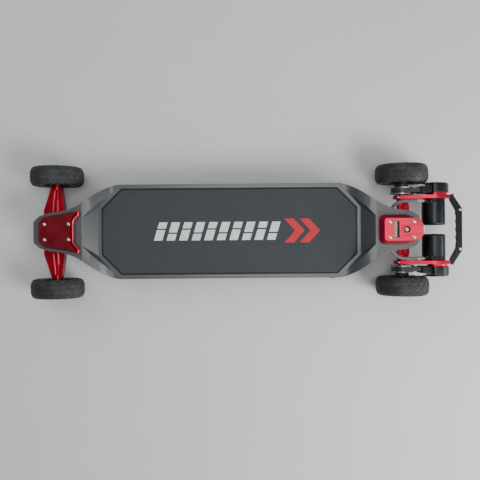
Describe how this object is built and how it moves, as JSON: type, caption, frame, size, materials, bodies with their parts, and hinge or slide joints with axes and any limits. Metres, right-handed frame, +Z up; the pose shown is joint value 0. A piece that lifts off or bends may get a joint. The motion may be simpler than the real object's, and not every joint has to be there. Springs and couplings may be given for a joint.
{
  "type": "electric skateboard",
  "caption": "Electric skateboard with a sunk carbon deck, spring-centred trucks, pneumatic wheels, belt-driven rear wheels and a rear grab handle.",
  "frame": {"origin": "on the ground, under the middle of the board's outer size", "axes": "+X towards the rear (driven) end, +Z up, +Y completes the right-handed frame"},
  "size_m": [1.202, 0.365, 0.185],
  "materials": {
    "carbon": "clear-coated carbon-fibre twill",
    "lid_plate": "moulded lid",
    "grip": "dark grey grit grip sheet",
    "seal": "black rubber",
    "cells": "heat-shrink wrapped cells",
    "circuit": "circuit board",
    "heat_sink": "black anodised heat sink case",
    "socket": "moulded socket",
    "dark_red": "dark red anodised",
    "red": "red anodised, machined",
    "display": "grey-green display window",
    "black_metal": "black anodised",
    "steel": "bare steel",
    "grey_metal": "grey anodised",
    "light": "milky lens",
    "urethane": "red urethane",
    "cup": "black urethane",
    "tyre": "black rubber with block tread",
    "belt": "toothed rubber belt",
    "cable": "dark grey braided sleeve"
  },
  "bodies": {
    "board": {"deck_shell": "carbon", "top_lid": "lid_plate", "grip_sheet": "grip", "lid_gasket": "seal", "battery_pack": "cells", "battery_board": "circuit", "motor_controller": "heat_sink", "charge_socket": "socket", "front_cover": "dark_red", "rear_cap": "red", "display_window": "display", "button_bezel": "black_metal", "tail_light": "light", "front_riser": "seal", "front_baseplate": "black_metal", "front_kingpin": "steel", "front_upper_bushing": "urethane", "front_lower_bushing": "urethane", "front_pivot_cup": "cup", "rear_riser": "seal", "rear_baseplate": "black_metal", "rear_kingpin": "steel", "rear_upper_bushing": "urethane", "rear_lower_bushing": "urethane", "rear_pivot_cup": "cup"},
    "power_button": {"power_button": "steel"},
    "front_truck": {"front_hanger": "red", "front_axle": "steel"},
    "rear_truck": {"rear_hanger": "red", "rear_axle": "steel", "left_motor_mount": "red", "left_belt_cover": "black_metal", "left_belt": "belt", "left_motor_stator": "grey_metal", "left_motor_cable": "cable", "right_motor_mount": "red", "right_belt_cover": "black_metal", "right_belt": "belt", "right_motor_stator": "grey_metal", "right_motor_cable": "cable", "rear_handle": "black_metal"},
    "front_left_wheel": {"front_left_tyre": "tyre", "front_left_rim": "black_metal", "front_left_bearings": "steel"},
    "front_right_wheel": {"front_right_tyre": "tyre", "front_right_rim": "black_metal", "front_right_bearings": "steel"},
    "rear_left_wheel": {"rear_left_tyre": "tyre", "rear_left_rim": "black_metal", "rear_left_bearings": "steel", "left_wheel_pulley": "grey_metal"},
    "rear_right_wheel": {"rear_right_tyre": "tyre", "rear_right_rim": "black_metal", "rear_right_bearings": "steel", "right_wheel_pulley": "grey_metal"},
    "left_rotor": {"left_motor_can": "black_metal", "left_motor_pulley": "steel"},
    "right_rotor": {"right_motor_can": "black_metal", "right_motor_pulley": "steel"}
  },
  "joints": [
    {"name": "front_truck_steer", "type": "hinge", "parent": "board", "child": "front_truck", "pos_m": [-0.51902, 0, 0.08199], "axis": [0.7071, 0, -0.7071], "range_deg": [-16, 16], "stiffness_Nm_per_rad": 120, "deforming": ["front_upper_bushing", "front_lower_bushing"]},
    {"name": "front_left_wheel_spin", "type": "hinge", "parent": "front_truck", "child": "front_left_wheel", "pos_m": [-0.5275, 0, 0.0735], "axis": [0, 1, 0], "continuous": true},
    {"name": "front_right_wheel_spin", "type": "hinge", "parent": "front_truck", "child": "front_right_wheel", "pos_m": [-0.5275, 0, 0.0735], "axis": [0, 1, 0], "continuous": true},
    {"name": "rear_truck_steer", "type": "hinge", "parent": "board", "child": "rear_truck", "pos_m": [0.43501, 0, 0.08199], "axis": [-0.7071, 0, -0.7071], "range_deg": [-16, 16], "stiffness_Nm_per_rad": 120, "deforming": ["rear_upper_bushing", "rear_lower_bushing", "left_motor_cable", "right_motor_cable"]},
    {"name": "rear_left_wheel_spin", "type": "hinge", "parent": "rear_truck", "child": "rear_left_wheel", "pos_m": [0.4435, 0, 0.0735], "axis": [0, 1, 0], "continuous": true},
    {"name": "rear_right_wheel_spin", "type": "hinge", "parent": "rear_truck", "child": "rear_right_wheel", "pos_m": [0.4435, 0, 0.0735], "axis": [0, 1, 0], "continuous": true},
    {"name": "left_motor_spin", "type": "hinge", "parent": "rear_truck", "child": "left_rotor", "pos_m": [0.5295, 0, 0.085], "axis": [0, 1, 0], "continuous": true},
    {"name": "right_motor_spin", "type": "hinge", "parent": "rear_truck", "child": "right_rotor", "pos_m": [0.5295, 0, 0.085], "axis": [0, 1, 0], "continuous": true},
    {"name": "power_button_press", "type": "slide", "parent": "board", "child": "power_button", "axis": [0, 0, -1], "range_m": [0, 0.0015], "stiffness_N_per_m": 1500}
  ],
  "couplings": [
    {"joint": "left_motor_spin", "follows": "rear_left_wheel_spin", "ratio": 2.4},
    {"joint": "right_motor_spin", "follows": "rear_right_wheel_spin", "ratio": 2.4}
  ]
}
